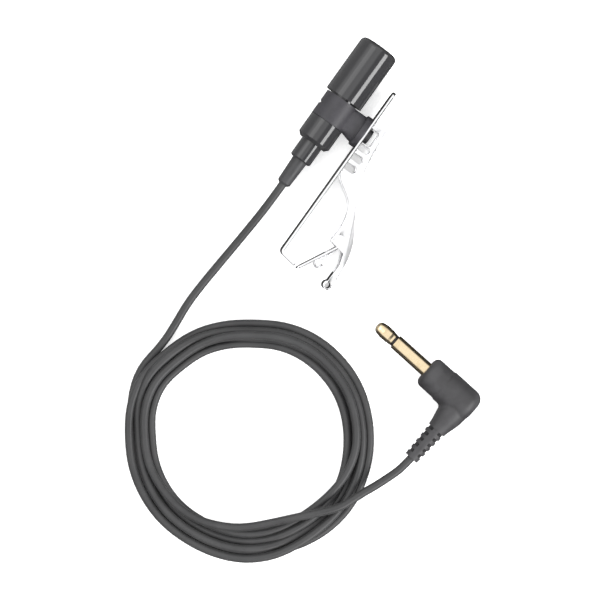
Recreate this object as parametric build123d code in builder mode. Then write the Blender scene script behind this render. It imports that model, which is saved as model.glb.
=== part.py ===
from build123d import *
import math
import os

# A clip-on lavalier microphone: a slim microphone, a rotating holder, a sprung metal
# clip, a thin coiled lead and a right-angle mono plug.
#
# Millimetres, lying on the floor z = 0. +Y runs along the microphone towards its head
# and +X from the microphone to its clip. The origin is the middle of the base of the
# microphone with its clip, without the lead.
#
# Three local frames are used:
# - MIC: x runs back along the microphone from its front face, y is upwards
# - CLIP: x as MIC, y out from the microphone's axis to the clip, z across the clip
# - PLUG: x runs back along the plug from its housing's front face, y is sideways

# Gaps
RUNNING_GAP = 0.05
PRESS_GAP = 0.02
MOVING_GAP = 0.1
FLOOR_GAP = 0.05

# Head
HEAD_RADIUS = 4.8
HEAD_LENGTH = 14.7
HEAD_WALL = 0.6
HEAD_RIM_ROUND = 1.2
HEAD_LIP = 0.8
HEAD_OPENING_RADIUS = 3.3
GRILLE_SHEET = 0.3
GRILLE_HOLE_RADIUS = 0.3
GRILLE_RINGS = ((6, 1.05), (12, 2.1), (18, 2.9))
CLOTH_THICKNESS = 0.5

# Capsule
CAN_RADIUS = 3.0
CAN_LENGTH = 5.0
CAN_SHEET = 0.2
CAN_CRIMP = 0.35
CAN_SOUND_HOLE_RADIUS = 0.4
CAPSULE_BOOT_LIP = 0.4
DIAPHRAGM_RING = 0.3
DIAPHRAGM_RING_WALL = 0.5
DIAPHRAGM_FILM = 0.05
SPACER_THICKNESS = 0.1
BACK_PLATE_THICKNESS = 0.4
BACK_PLATE_RADIUS = 2.3
BACK_PLATE_HOLE_RADIUS = 0.2
CUP_DEPTH = 2.4
CONTACT_RING_RADIUS = 1.9
CONTACT_RING_WALL = 0.25
BOARD_THICKNESS = 0.5
TRANSISTOR = (1.6, 1.2, 0.7)
PAD_RADIUS = 0.5
PAD_HEIGHT = 0.3
PAD_SPACING = 2.2

# Body, rear sleeve and strain relief
NECK_RADIUS = 3.4
BODY_RADIUS = 4.2
BODY_LENGTH = 5.9
BODY_CHAMFER = 0.8
BODY_BORE_RADIUS = 2.6
SLEEVE_RADIUS = 2.68
SLEEVE_LENGTH = 4.9
SLEEVE_CHAMFER = 0.35
SLEEVE_SPIGOT_RADIUS = 2.05
SLEEVE_SPIGOT_LENGTH = 4.1
RELIEF_WALL = 0.9
RELIEF_TIP_WALL = 0.66
RELIEF_LENGTH = 6.8
RELIEF_ROUND = 0.5
RELIEF_SPIGOT_WALL = 0.43
RELIEF_SPIGOT_LENGTH = 7.5
CRIMP_WALL = 0.63
CRIMP_LENGTH = 2.6

# Cable
CABLE_DIAMETER = 1.9
LEAD_STRAIGHT = 6.2
TAIL_STRAIGHT = 3.2
CABLE_PAST_CRIMP = 1.0
WIRE_RADIUS = 0.22
WIRE_SPACING = 0.8
WIRE_STRAIGHT = 2.0
WIRE_BEND = 1.5

# Holder
RING_SETBACK = 0.4
RING_LENGTH = 6.2
RING_WALL = 0.8
RING_SPLIT = 0.5
RING_NOTCH = 0.5
FOOT_OFFSET = 18.5
FOOT_RADIUS = 4.0
FOOT_THICKNESS = 1.6
FOOT_ROUND = 0.3
FOOT_REACH = 8.5
ARM_ROOT = (6.2, 5.2)
ARM_TOP = (7.0, 6.2)
ARM_FLARE_REACH = 4.4
ARM_ROOT_ROUND = 1.2
ARM_TOP_ROUND = 2.7
RIVET_RADIUS = 1.2
RIVET_HEAD_RADIUS = 1.8
RIVET_HEAD = 1.1
RIVET_ROUND = 0.25
RIVET_DEPTH = 2.6

# Clip base, bent from one strip
BASE_WIDTH = 6.2
BASE_ARM_WIDTH = 3.8
BASE_SHEET = 0.6
BASE_BEND = 0.9
BASE_CORNER_ROUND = 1.4
STRIP_START = 6.7
STRIP_END = 51.9
WALL_TOP = (52.7, 14.1)
PIVOT = (42.0, 18.3)
PIN_RADIUS = 0.9
PIN_HEAD_RADIUS = 1.35
PIN_HEAD = 0.3
SPRING_SLOT_WIDTH = 1.9
SPRING_SLOT_LENGTH = 4.2

# Clip lever, a toothed channel with a finger tail
LEVER_WIDTH = 5.2
LEVER_SHEET = 0.5
LEVER_BACK = (
    (13.5, 12.3),
    (20.9, 13.0),
    (27.4, 14.3),
    (32.0, 16.2),
    (36.6, 18.8),
    (40.7, 21.3),
    (44.6, 22.5),
    (48.7, 23.0),
    (51.6, 22.9),
)
LEVER_CHEEK = ((31.6, 12.0), (33.3, 14.4), (36.0, 15.9), (39.8, 16.6), (43.2, 16.4))
LEVER_EAR_END = (44.0, 20.7)
LEVER_TAIL_EDGE = ((46.6, 21.5), (51.2, 21.4))
TOOTH_ROW_END = 29.2
TAIL_ROLL = (52.0, 22.0)
TAIL_ROLL_RADIUS = 1.1
TAIL_ROLL_BORE = 0.7
NOTCH_WIDTH = 1.7
NOTCH_POSITIONS = (21.5, 24.2, 26.9)
NOTCH_TOP = 1.9
WINDOW_WIDTH = 3.9
WINDOW_TOP = 2.3
WINDOW_ROUND = 0.8

# Clip spring, a torsion spring on the pivot pin
SPRING_WIRE = 0.45
SPRING_TURNS = 3
SPRING_PITCH = 0.42
SPRING_COIL_GAP = 0.115
ARM_LEG_START = 0.4
ARM_LEG_BEND_DISTANCE = 3.0
HOOK_START = 6.0
HOOK_END = 7.6
HOOK_WIDTH = 1.5
TAIL_LEG_RISE = (2.0, 0.9)
TAIL_LEG_END = 0.4
LEG_BEND = 0.6

# Plug
PLUG_PLACE = (42.96, -28.04)
PLUG_TURN = -6.5
PIN_BARREL_RADIUS = 1.75
PIN_BARREL_LENGTH = 9.65
PIN_SHANK_RADIUS = 2.1
PLUG_RING_WIDTH = 0.7
PLUG_RING_RADIUS = 1.4
PLUG_TIP_LENGTH = 5.05
PLUG_TIP_RADIUS = 1.66
NOSE_LENGTH = 1.3
NOSE_RADIUS = 1.51
NOSE_SLOPE = 0.15
TIP_SHOULDER = 2.2
TIP_BACK_RADIUS = 1.62
PLUG_WAIST_RADIUS = 1.5
PLUG_WAIST_LENGTH = 0.5
PLUG_WAIST_SLOPE = 0.6
PLUG_ROD_RADIUS = 0.6
PLUG_TUBE_RADIUS = 1.1
PLUG_COLLAR = 1.2
PLUG_COLLAR_RADIUS = 2.5
CORE_RADIUS = 2.9
CORE_FRONT = 0.8
CORE_LENGTH = 7.0
PLUG_ROD_TAIL = 3.4
HOUSING_RADIUS = 4.1
HOUSING_FRONT_RADIUS = 3.9
HOUSING_STEP = 5.2
HOUSING_STEP_SLOPE = 0.6
HOUSING_STEP_ROUND = 0.3
HOUSING_BACK_WALL = 0.15
HOUSING_FRONT_ROUND = 1.4
HOUSING_BACK_ROUND = 2.4
STEM_OFFSET = 11.1
STEM_TOP_RADIUS = 3.3
STEM_MIDDLE = (4.5, 3.2)
STEM_END_RADIUS = 2.3
STEM_END_SLOPE = -0.1
STEM_LENGTH = 8.9
RIB_ZONE_LENGTH = 8.7
RIB_START_RADIUS = 2.17
RIB_END_RADIUS = 1.75
RIB_PITCH = 1.68
RIB_SLOT_WIDTH = 0.75
RIB_COUNT = 5
RIB_SPINE = 1.5
RIB_NOTCH = 0.3
RIB_WEB = 0.45
RIB_TAPER = (RIB_START_RADIUS - RIB_END_RADIUS) / RIB_ZONE_LENGTH
STEM_CORNER_ROUND = 1.0

# Coil of the lead: its outer shape, leaning ovals whose middles are not the same
COIL_PLACE = (19.25, -65.71)
COIL_TURN = 35.6
COIL_OUTER = (29.4, 28.4)
COIL_INNER = (21.5, 20.2)
COIL_INNER_SHIFT = (0.23, 1.4)
COIL_HEIGHT = 4.6
COIL_ROUND = 0.9

# Worked out from the sizes above, as distances back from the head's front face
cloth_front = HEAD_LIP + GRILLE_SHEET
boot_front = cloth_front + CLOTH_THICKNESS
can_front = boot_front + CAPSULE_BOOT_LIP
can_back = can_front + CAN_LENGTH
boot_back = can_back + CAPSULE_BOOT_LIP
diaphragm_front = can_front + CAN_SHEET
spacer_front = diaphragm_front + DIAPHRAGM_RING
plate_front = spacer_front + SPACER_THICKNESS
plate_back = plate_front + BACK_PLATE_THICKNESS
board_back = can_back - CAN_SHEET
board_front = board_back - BOARD_THICKNESS
ring_front = HEAD_LENGTH + RING_SETBACK
ring_back = ring_front + RING_LENGTH
body_front = ring_back + MOVING_GAP
body_back = body_front + BODY_LENGTH
sleeve_front = body_back - SLEEVE_SPIGOT_LENGTH
sleeve_back = body_back + SLEEVE_LENGTH
relief_front = sleeve_back - RELIEF_SPIGOT_LENGTH
relief_back = sleeve_back + RELIEF_LENGTH
crimp_front = sleeve_front - CRIMP_LENGTH
cable_front = crimp_front - CABLE_PAST_CRIMP

cable_radius = CABLE_DIAMETER / 2
cable_bore = cable_radius + PRESS_GAP
relief_radius = cable_bore + RELIEF_WALL
relief_tip_radius = cable_bore + RELIEF_TIP_WALL
relief_spigot_radius = cable_bore + RELIEF_SPIGOT_WALL
crimp_radius = cable_bore + CRIMP_WALL
spring_coil_radius = PIN_RADIUS + SPRING_COIL_GAP + SPRING_WIRE / 2
capsule_radius = CAN_RADIUS - CAN_SHEET - PRESS_GAP
lining_radius = HEAD_RADIUS - HEAD_WALL - PRESS_GAP
ring_bore = NECK_RADIUS + RUNNING_GAP
ring_radius = ring_bore + RING_WALL
strip_back = FOOT_REACH + BASE_SHEET
tail_reach = TAIL_ROLL[1] + TAIL_ROLL_RADIUS
clip_end = WALL_TOP[0] + BASE_SHEET / 2

# The microphone lies on its head and on the rolled tail of its clip
lean = math.degrees(math.asin((HEAD_RADIUS - LEVER_WIDTH / 2 - FLOOR_GAP) / tail_reach))
across = math.cos(math.radians(lean))
down = math.sin(math.radians(lean))
mic_x = (HEAD_RADIUS - tail_reach * across - LEVER_WIDTH / 2 * down) / 2
head_y = clip_end / 2
mic_origin = (mic_x, head_y, HEAD_RADIUS)
out_of_mic = Vector(across, 0, -down)

MIC = Plane(origin=mic_origin, x_dir=(0, -1, 0), z_dir=(-1, 0, 0))
MIC_AXIS = Axis(mic_origin, (0, -1, 0))
CLIP = Plane(origin=mic_origin, x_dir=(0, -1, 0), z_dir=(down, 0, across))
plug_direction = Vector(1, 0, 0).rotate(Axis.Z, PLUG_TURN)
PLUG = Plane(origin=(*PLUG_PLACE, HOUSING_RADIUS), x_dir=plug_direction, z_dir=(0, 0, 1))
PLUG_AXIS = Axis(PLUG.origin, plug_direction)

# The lead's route, from the strain relief down to the floor and into the coil, and
# from the top of the coil to the plug
lead_start = MIC.from_local_coords(Vector(relief_back, 0, 0))
lead_straight = MIC.from_local_coords(Vector(relief_back + LEAD_STRAIGHT, 0, 0))
rib_end = STEM_LENGTH + RIB_ZONE_LENGTH
relief_end = PLUG.from_local_coords(Vector(STEM_OFFSET, -rib_end, 0))
tail_straight = PLUG.from_local_coords(Vector(STEM_OFFSET, -rib_end - TAIL_STRAIGHT, 0))
LEAD_ROUTE = (
    tuple(lead_start),
    tuple(lead_straight),
    (-9.7, -25.7, 3.3),
    (-10.3, -33.4, 1.55),
    (-10.9, -41.0, 1.0),
    (-11.2, -47.6, 0.98),
    (-10.6, -53.8, 1.02),
    (-8.8, -59.6, 1.1),
)
TAIL_ROUTE = (
    (47.4, -60.4, 4.45),
    (48.9, -57.2, 4.5),
    (50.35, -53.6, 4.35),
    tuple(tail_straight),
    tuple(relief_end),
)


def across_mic(distance: float) -> Plane:
    """The plane square to the microphone, that far back from its front face."""
    return Plane(
        origin=MIC.from_local_coords(Vector(distance, 0, 0)),
        x_dir=out_of_mic,
        z_dir=(0, -1, 0),
    )


def facing_clip(distance: float, reach: float) -> Plane:
    """The plane square to the clip's direction, at that distance back and reach out."""
    return Plane(
        origin=CLIP.from_local_coords(Vector(distance, reach, 0)),
        x_dir=(0, -1, 0),
        z_dir=out_of_mic,
    )


def half_section(plane: Plane, *points) -> Sketch:
    """A closed outline beside the x axis of the plane, to be turned about that axis."""
    with BuildSketch(plane) as section:
        with BuildLine():
            Polyline(*points, close=True)
        make_face()
    return section.sketch


def ring_section(plane: Plane, front: float, back: float, inner: float, outer: float) -> Sketch:
    """The section of a plain ring, tube or disc."""
    return half_section(plane, (front, inner), (back, inner), (back, outer), (front, outer))


def bend_radii(route) -> list:
    """One radius per corner: 0.45 of the shorter run over the tangent of half the turn."""
    points = [Vector(*p) for p in route]
    radii = []
    for before, corner, after in zip(points, points[1:], points[2:]):
        turn = math.radians((corner - before).get_angle(after - corner))
        shorter = min((corner - before).length, (after - corner).length)
        radii.append(0.45 * shorter / math.tan(turn / 2))
    return radii


def start_of(path: Curve) -> Plane:
    """The plane square to a path at its start."""
    return Plane(origin=path @ 0, z_dir=path % 0)


# --- Microphone head and capsule ---------------------------------------------------

with BuildPart() as head_shell:
    revolve(ring_section(MIC, 0, HEAD_LENGTH, 0, HEAD_RADIUS), axis=MIC_AXIS)
    front_edge = head_shell.edges().filter_by(GeomType.CIRCLE).sort_by(Axis.Y)[-1]
    fillet(front_edge, HEAD_RIM_ROUND)
    inner_radius = HEAD_RADIUS - HEAD_WALL
    bore = ring_section(MIC, HEAD_LIP, HEAD_LENGTH, 0, inner_radius)
    opening = ring_section(MIC, 0, HEAD_LIP, 0, HEAD_OPENING_RADIUS)
    revolve([bore, opening], axis=MIC_AXIS, mode=Mode.SUBTRACT)

with BuildPart() as front_grille:
    with BuildSketch(across_mic(HEAD_LIP)):
        Circle(lining_radius)
        Circle(GRILLE_HOLE_RADIUS, mode=Mode.SUBTRACT)
        for count, circle_radius in GRILLE_RINGS:
            with PolarLocations(circle_radius, count):
                Circle(GRILLE_HOLE_RADIUS, mode=Mode.SUBTRACT)
    extrude(amount=GRILLE_SHEET)

with BuildPart() as grille_cloth:
    with BuildSketch(across_mic(cloth_front)):
        Circle(lining_radius)
    extrude(amount=CLOTH_THICKNESS)

with BuildPart() as capsule_boot:
    revolve(ring_section(MIC, boot_front, boot_back, 0, lining_radius), axis=MIC_AXIS)
    socket = ring_section(MIC, can_front, boot_back, 0, CAN_RADIUS + PRESS_GAP)
    mouth = ring_section(MIC, boot_front, can_front, 0, CAN_RADIUS - HEAD_LIP)
    revolve([socket, mouth], axis=MIC_AXIS, mode=Mode.SUBTRACT)

with BuildPart() as capsule_can:
    revolve(ring_section(MIC, can_front, can_back, 0, CAN_RADIUS), axis=MIC_AXIS)
    room = ring_section(MIC, diaphragm_front, board_back, 0, CAN_RADIUS - CAN_SHEET)
    crimped_mouth = ring_section(MIC, board_back, can_back, 0, capsule_radius - CAN_CRIMP)
    sound_hole = ring_section(MIC, can_front, diaphragm_front, 0, CAN_SOUND_HOLE_RADIUS)
    revolve([room, crimped_mouth, sound_hole], axis=MIC_AXIS, mode=Mode.SUBTRACT)

with BuildPart() as diaphragm:
    ring_bore_radius = capsule_radius - DIAPHRAGM_RING_WALL
    film_front = spacer_front - DIAPHRAGM_FILM
    revolve(
        half_section(
            MIC,
            (diaphragm_front, ring_bore_radius),
            (diaphragm_front, capsule_radius),
            (spacer_front, capsule_radius),
            (spacer_front, 0),
            (film_front, 0),
            (film_front, ring_bore_radius),
        ),
        axis=MIC_AXIS,
    )

with BuildPart() as diaphragm_spacer:
    spacer_bore = capsule_radius - DIAPHRAGM_RING_WALL
    revolve(
        ring_section(MIC, spacer_front, plate_front, spacer_bore, capsule_radius),
        axis=MIC_AXIS,
    )

with BuildPart() as back_plate:
    with BuildSketch(across_mic(plate_front)):
        Circle(BACK_PLATE_RADIUS)
        with PolarLocations(BACK_PLATE_RADIUS / 2, 4):
            Circle(BACK_PLATE_HOLE_RADIUS, mode=Mode.SUBTRACT)
    extrude(amount=BACK_PLATE_THICKNESS)

with BuildPart() as plate_cup:
    revolve(
        half_section(
            MIC,
            (plate_front, BACK_PLATE_RADIUS + PRESS_GAP),
            (plate_front, capsule_radius),
            (plate_front + CUP_DEPTH, capsule_radius),
            (plate_front + CUP_DEPTH, CONTACT_RING_RADIUS + PRESS_GAP),
            (plate_back, CONTACT_RING_RADIUS + PRESS_GAP),
            (plate_back, BACK_PLATE_RADIUS + PRESS_GAP),
        ),
        axis=MIC_AXIS,
    )

with BuildPart() as contact_ring:
    contact_bore = CONTACT_RING_RADIUS - CONTACT_RING_WALL
    revolve(
        ring_section(MIC, plate_back, board_front, contact_bore, CONTACT_RING_RADIUS),
        axis=MIC_AXIS,
    )

with BuildPart() as circuit_board:
    with BuildSketch(across_mic(board_front)):
        Circle(capsule_radius)
    extrude(amount=BOARD_THICKNESS)

with BuildPart() as transistor:
    with BuildSketch(across_mic(board_front)):
        Rectangle(TRANSISTOR[0], TRANSISTOR[1])
    extrude(amount=-TRANSISTOR[2])

with BuildPart() as solder_pads:
    with BuildSketch(across_mic(board_back)):
        with GridLocations(PAD_SPACING, 0, 2, 1):
            Circle(PAD_RADIUS)
    extrude(amount=PAD_HEIGHT)

# --- Body, rear sleeve, strain relief and the end of the cable ----------------------

with BuildPart() as body_shell:
    crimp_bore = crimp_radius + PRESS_GAP
    rear_bore = SLEEVE_SPIGOT_RADIUS + PRESS_GAP
    revolve(
        half_section(
            MIC,
            (boot_back, BODY_BORE_RADIUS),
            (boot_back, lining_radius),
            (HEAD_LENGTH, lining_radius),
            (HEAD_LENGTH, NECK_RADIUS),
            (body_front, NECK_RADIUS),
            (body_front, BODY_RADIUS),
            (body_back - BODY_CHAMFER, BODY_RADIUS),
            (body_back, BODY_RADIUS - BODY_CHAMFER),
            (body_back, rear_bore),
            (sleeve_front, rear_bore),
            (sleeve_front, crimp_bore),
            (crimp_front, crimp_bore),
            (crimp_front, BODY_BORE_RADIUS),
        ),
        axis=MIC_AXIS,
    )

with BuildPart() as rear_sleeve:
    sleeve_bore = relief_spigot_radius + PRESS_GAP
    revolve(
        half_section(
            MIC,
            (sleeve_front, sleeve_bore),
            (sleeve_front, SLEEVE_SPIGOT_RADIUS),
            (body_back, SLEEVE_SPIGOT_RADIUS),
            (body_back, SLEEVE_RADIUS),
            (sleeve_back - SLEEVE_CHAMFER, SLEEVE_RADIUS),
            (sleeve_back, SLEEVE_RADIUS - SLEEVE_CHAMFER),
            (sleeve_back, sleeve_bore),
        ),
        axis=MIC_AXIS,
    )

with BuildPart() as relief_boot:
    revolve(
        half_section(
            MIC,
            (relief_front, cable_bore),
            (relief_front, relief_spigot_radius),
            (sleeve_back, relief_spigot_radius),
            (sleeve_back, relief_radius),
            (relief_back - RELIEF_ROUND, relief_tip_radius),
            (relief_back, relief_tip_radius - RELIEF_ROUND),
            (relief_back, cable_bore),
        ),
        axis=MIC_AXIS,
    )

with BuildPart() as cable_crimp:
    revolve(
        ring_section(MIC, crimp_front, sleeve_front, cable_bore, crimp_radius),
        axis=MIC_AXIS,
    )

with BuildPart() as cable_end:
    revolve(ring_section(MIC, cable_front, relief_back, 0, cable_radius), axis=MIC_AXIS)

pad_back = board_back + PAD_HEIGHT
with BuildPart() as capsule_wires:
    for side in (1, -1):
        wire_route = [
            (pad_back, side * PAD_SPACING / 2),
            (pad_back + WIRE_STRAIGHT, side * PAD_SPACING / 2),
            (cable_front - WIRE_STRAIGHT, side * WIRE_SPACING / 2),
            (cable_front, side * WIRE_SPACING / 2),
        ]
        with BuildLine(CLIP) as wire_path:
            FilletPolyline(*wire_route, radius=WIRE_BEND)
        with BuildSketch(start_of(wire_path.line)):
            Circle(WIRE_RADIUS)
        sweep()

# --- Holder and its rivet ----------------------------------------------------------

with BuildPart() as holder:
    with BuildSketch(across_mic(ring_front)):
        Circle(ring_radius)
    extrude(amount=RING_LENGTH)
    with BuildSketch(facing_clip(ring_front + RING_LENGTH / 2, ring_bore / 2)):
        RectangleRounded(*ARM_ROOT, ARM_ROOT_ROUND)
    extrude(amount=ARM_FLARE_REACH - ring_bore / 2)
    with BuildSketch(facing_clip(ring_front + RING_LENGTH / 2, ARM_FLARE_REACH)):
        RectangleRounded(*ARM_ROOT, ARM_ROOT_ROUND)
    with BuildSketch(facing_clip(FOOT_OFFSET, FOOT_REACH - FOOT_THICKNESS)):
        RectangleRounded(*ARM_TOP, ARM_TOP_ROUND)
    loft()
    with BuildSketch(facing_clip(FOOT_OFFSET, FOOT_REACH - FOOT_THICKNESS)):
        Circle(FOOT_RADIUS)
    extrude(amount=FOOT_THICKNESS)
    foot_edges = holder.edges().filter_by(GeomType.CIRCLE)
    foot_edges = foot_edges.filter_by(lambda e: abs(e.radius - FOOT_RADIUS) < 0.01)
    fillet(foot_edges, FOOT_ROUND)
    with BuildSketch(across_mic(ring_front)):
        Circle(ring_bore)
    extrude(amount=RING_LENGTH, mode=Mode.SUBTRACT)
    with BuildSketch(across_mic(ring_front)):
        with Locations((-ring_radius, 0)):
            Rectangle(2 * RING_WALL + RUNNING_GAP, RING_SPLIT)
    extrude(amount=RING_LENGTH, mode=Mode.SUBTRACT)
    with BuildSketch(CLIP):
        with Locations((ring_front + RING_LENGTH / 2, -ring_radius)):
            Rectangle(RING_NOTCH * math.sqrt(2), RING_NOTCH * math.sqrt(2), rotation=45)
    extrude(amount=ring_radius, both=True, mode=Mode.SUBTRACT)
    with BuildSketch(facing_clip(FOOT_OFFSET, FOOT_REACH)):
        Circle(RIVET_RADIUS + PRESS_GAP)
    extrude(amount=-RIVET_DEPTH, mode=Mode.SUBTRACT)

with BuildPart() as swivel_rivet:
    with BuildSketch(facing_clip(FOOT_OFFSET, FOOT_REACH - RIVET_DEPTH)):
        Circle(RIVET_RADIUS)
    extrude(amount=RIVET_DEPTH + BASE_SHEET + RUNNING_GAP)
    with BuildSketch(facing_clip(FOOT_OFFSET, strip_back + RUNNING_GAP)):
        Circle(RIVET_HEAD_RADIUS)
    extrude(amount=RIVET_HEAD)
    fillet(swivel_rivet.edges().sort_by(Axis(mic_origin, out_of_mic))[-1], RIVET_ROUND)

# --- Clip --------------------------------------------------------------------------

pivot = Vector(*PIVOT)
knuckle_bore = PIN_RADIUS + RUNNING_GAP
knuckle_radius = knuckle_bore + BASE_SHEET
wall_foot = Vector(STRIP_END, FOOT_REACH + BASE_SHEET / 2)
wall_top = Vector(*WALL_TOP)
to_pivot = pivot - wall_top
middle_radius = knuckle_bore + BASE_SHEET / 2
tangent_length = math.sqrt(to_pivot.length**2 - middle_radius**2)
tangent_turn = math.degrees(math.asin(middle_radius / to_pivot.length))
arm_direction = to_pivot.normalized().rotate(Axis.Z, -tangent_turn)
arm_end = wall_top + arm_direction * tangent_length

with BuildPart() as clip_base:
    with BuildSketch(CLIP):
        with BuildLine():
            FilletPolyline(
                (STRIP_START, wall_foot.Y),
                (wall_foot.X, wall_foot.Y),
                (wall_top.X, wall_top.Y),
                radius=BASE_BEND,
            )
        trace(line_width=BASE_SHEET)
    extrude(amount=BASE_WIDTH / 2, both=True)
    tip_corners = clip_base.edges().filter_by(Axis(mic_origin, out_of_mic))
    fillet(tip_corners.group_by(Axis.Y)[-1], BASE_CORNER_ROUND)
    wall_corners = clip_base.edges().sort_by(Axis.X)[-4:]
    wall_corners = wall_corners.filter_by(lambda e: e.length < 2 * BASE_SHEET)
    fillet(wall_corners, BASE_CORNER_ROUND)
    with BuildSketch(CLIP):
        with BuildLine():
            wall_middle = (wall_foot + wall_top) / 2
            FilletPolyline(
                (wall_middle.X, wall_middle.Y),
                (wall_top.X, wall_top.Y),
                (arm_end.X, arm_end.Y),
                radius=BASE_BEND,
            )
        trace(line_width=BASE_SHEET)
        with Locations(PIVOT):
            Circle(knuckle_radius)
            Circle(knuckle_bore, mode=Mode.SUBTRACT)
    extrude(amount=BASE_ARM_WIDTH / 2, both=True)
    with BuildSketch(CLIP):
        with Locations(PIVOT):
            Circle(SPRING_SLOT_LENGTH)
    extrude(amount=SPRING_SLOT_WIDTH / 2, both=True, mode=Mode.SUBTRACT)
    with BuildSketch(facing_clip(FOOT_OFFSET, FOOT_REACH)):
        Circle(RIVET_RADIUS + RUNNING_GAP)
    extrude(amount=BASE_SHEET, mode=Mode.SUBTRACT)

with BuildPart() as clip_lever:
    tooth_line = strip_back + MOVING_GAP
    with BuildSketch(CLIP):
        with BuildLine():
            back = Spline(*LEVER_BACK)
            tail_end = Line(back @ 1, LEVER_TAIL_EDGE[1])
            tail_edge = Line(tail_end @ 1, LEVER_TAIL_EDGE[0])
            ear_shoulder = Line(tail_edge @ 1, LEVER_EAR_END)
            Line(ear_shoulder @ 1, LEVER_CHEEK[-1])
            cheek = Spline(*reversed(LEVER_CHEEK), (TOOTH_ROW_END, tooth_line))
            tooth_row = Line(cheek @ 1, (LEVER_BACK[0][0] + LEVER_SHEET, tooth_line))
            Line(tooth_row @ 1, back @ 0)
        make_face()
        with Locations(TAIL_ROLL):
            Circle(TAIL_ROLL_RADIUS)
    extrude(amount=LEVER_WIDTH / 2, both=True)
    with BuildSketch(CLIP):
        with BuildLine():
            inner_back = Spline(*[(x, y - LEVER_SHEET) for x, y in LEVER_BACK[:-1]])
            Line(inner_back @ 1, (LEVER_BACK[-2][0], 0))
            Line((LEVER_BACK[-2][0], 0), (0, 0))
            Line((0, 0), (0, LEVER_BACK[0][1] - LEVER_SHEET))
            Line((0, LEVER_BACK[0][1] - LEVER_SHEET), inner_back @ 0)
        make_face()
    extrude(amount=LEVER_WIDTH / 2 - LEVER_SHEET, both=True, mode=Mode.SUBTRACT)
    with BuildSketch(CLIP):
        for place in NOTCH_POSITIONS:
            with Locations((place, tooth_line)):
                SlotOverall(2 * NOTCH_TOP + NOTCH_WIDTH, NOTCH_WIDTH, rotation=90)
        with Locations((FOOT_OFFSET - RUNNING_GAP, tooth_line)):
            RectangleRounded(WINDOW_WIDTH, 2 * WINDOW_TOP, WINDOW_ROUND)
        with Locations(PIVOT):
            Circle(PIN_RADIUS + RUNNING_GAP)
        with Locations(TAIL_ROLL):
            Circle(TAIL_ROLL_BORE)
    extrude(amount=LEVER_WIDTH / 2, both=True, mode=Mode.SUBTRACT)

with BuildPart() as pivot_pin:
    with BuildSketch(CLIP):
        with Locations(PIVOT):
            Circle(PIN_RADIUS)
    extrude(amount=LEVER_WIDTH / 2 + PIN_HEAD, both=True)
    head_plane = CLIP.offset(LEVER_WIDTH / 2 + RUNNING_GAP)
    foot_plane = CLIP.offset(-LEVER_WIDTH / 2 - RUNNING_GAP)
    for plane, height in ((head_plane, PIN_HEAD), (foot_plane, -PIN_HEAD)):
        with BuildSketch(plane):
            with Locations(PIVOT):
                Circle(PIN_HEAD_RADIUS)
        extrude(amount=height)

wire_radius = SPRING_WIRE / 2
pivot_place = CLIP.from_local_coords(pivot)
along_coil = Plane(origin=pivot_place, x_dir=out_of_mic, z_dir=(0, -1, 0))
arm_inward = Vector(arm_direction.Y, -arm_direction.X, 0)
arm_clear = knuckle_radius + wire_radius + PRESS_GAP
tail_leg_y = LEVER_BACK[-2][1] - LEVER_SHEET - wire_radius - MOVING_GAP


def beside_arm(distance: float, inward: float) -> tuple:
    """A point of the clip's side view, that far down the arm from the pivot and inward."""
    place = pivot - arm_direction * distance + arm_inward * inward
    return (place.X, place.Y)


with BuildPart() as clip_spring:
    with BuildSketch(along_coil):
        with GridLocations(0, SPRING_PITCH, 1, SPRING_TURNS):
            with Locations((spring_coil_radius, 0)):
                Circle(wire_radius)
    revolve(axis=Axis(pivot_place, CLIP.z_dir))
    with BuildLine(CLIP.offset(SPRING_PITCH)) as arm_leg:
        FilletPolyline(
            beside_arm(ARM_LEG_START, spring_coil_radius),
            beside_arm(ARM_LEG_BEND_DISTANCE, arm_clear),
            beside_arm(HOOK_END, arm_clear),
            beside_arm(HOOK_END, arm_clear + HOOK_WIDTH),
            beside_arm(HOOK_START, arm_clear + HOOK_WIDTH),
            radius=LEG_BEND,
        )
    with BuildSketch(start_of(arm_leg.line)):
        Circle(wire_radius)
    sweep()
    with BuildLine(CLIP.offset(-SPRING_PITCH)) as tail_leg:
        FilletPolyline(
            (pivot.X, pivot.Y + spring_coil_radius),
            (pivot.X + TAIL_LEG_RISE[0], pivot.Y + spring_coil_radius + TAIL_LEG_RISE[1]),
            (LEVER_BACK[-2][0] - TAIL_LEG_END, tail_leg_y),
            radius=LEG_BEND,
        )
    with BuildSketch(start_of(tail_leg.line)):
        Circle(wire_radius)
    sweep()

# --- Plug --------------------------------------------------------------------------

ring_back_x = -PIN_BARREL_LENGTH
ring_front_x = ring_back_x - PLUG_RING_WIDTH
waist_x = ring_front_x - PLUG_WAIST_LENGTH
tip_front_x = ring_front_x - PLUG_TIP_LENGTH

with BuildPart() as plug_tip:
    with BuildSketch(PLUG):
        with BuildLine():
            nose = (tip_front_x, 0)
            nose_back = (tip_front_x + NOSE_LENGTH, NOSE_RADIUS)
            Spline(nose, nose_back, tangents=((0, 1), (1, NOSE_SLOPE)))
            Polyline(
                nose_back,
                (tip_front_x + TIP_SHOULDER, PLUG_TIP_RADIUS),
                (waist_x - PLUG_WAIST_SLOPE, TIP_BACK_RADIUS),
                (waist_x, PLUG_WAIST_RADIUS),
                (ring_front_x, PLUG_WAIST_RADIUS),
                (ring_front_x, PLUG_ROD_RADIUS),
                (PLUG_ROD_TAIL, PLUG_ROD_RADIUS),
                (PLUG_ROD_TAIL, 0),
                nose,
            )
        make_face()
    revolve(axis=PLUG_AXIS)

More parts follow.
